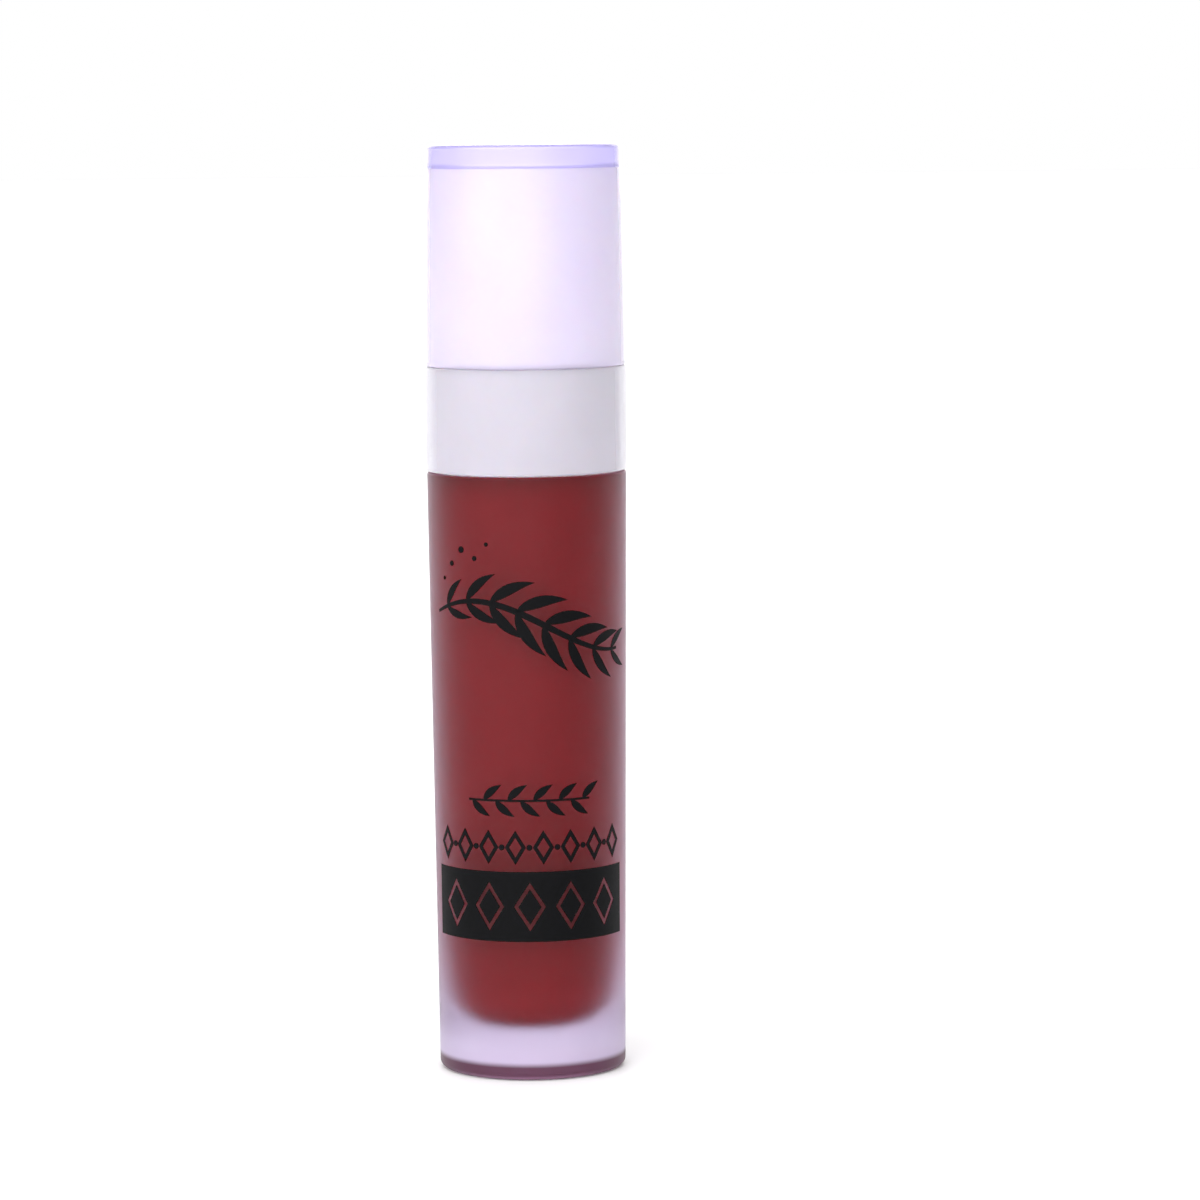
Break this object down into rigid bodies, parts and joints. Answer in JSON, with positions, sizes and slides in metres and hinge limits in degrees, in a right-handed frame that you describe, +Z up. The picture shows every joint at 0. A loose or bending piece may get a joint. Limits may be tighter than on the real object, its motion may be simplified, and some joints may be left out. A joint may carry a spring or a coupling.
{
  "type": "lip gloss tube",
  "caption": "Frosted lip gloss tube with a clear collar, a screw cap and a doe-foot applicator on a wand that dips into the gloss.",
  "frame": {"origin": "centre of the tube's flat base", "axes": "+Z up the tube towards the cap; the printed front faces -Y"},
  "size_m": [0.0198, 0.0198, 0.0912],
  "materials": {
    "frosted_bottle": "frosted heavy-walled clear plastic",
    "clear_collar": "polished clear plastic",
    "wiper": "soft natural polyethylene",
    "gloss": "dark red liquid",
    "washer": "foamed polyethylene",
    "cap_shell": "clear plastic with a lavender tint, satin",
    "cap_liner": "white moulded polypropylene",
    "wand": "pale pink moulded polypropylene, satin",
    "tip_core": "soft elastomer",
    "flock": "short nylon flock, soaked dark crimson"
  },
  "bodies": {
    "tube": {"bottle": "frosted_bottle", "collar_ring": "clear_collar", "wiper": "wiper", "gloss": "gloss"},
    "cap_seal": {"sealing_washer": "washer"},
    "applicator": {"cap_shell": "cap_shell", "cap_liner": "cap_liner", "wand": "wand", "tip_core": "tip_core", "tip_flock": "flock"}
  },
  "joints": [
    {"name": "cap_lift", "type": "slide", "parent": "tube", "child": "cap_seal", "axis": [0, 0, 1], "range_m": [0, 0.0841]},
    {"name": "cap_turn", "type": "hinge", "parent": "cap_seal", "child": "applicator", "pos_m": [0, 0, 0], "axis": [0, 0, 1], "range_deg": [0, 5040], "deforming": ["wiper", "gloss"]}
  ],
  "couplings": [
    {"joint": "cap_lift", "follows": "cap_turn", "m_per_rad": 0.00095493}
  ]
}
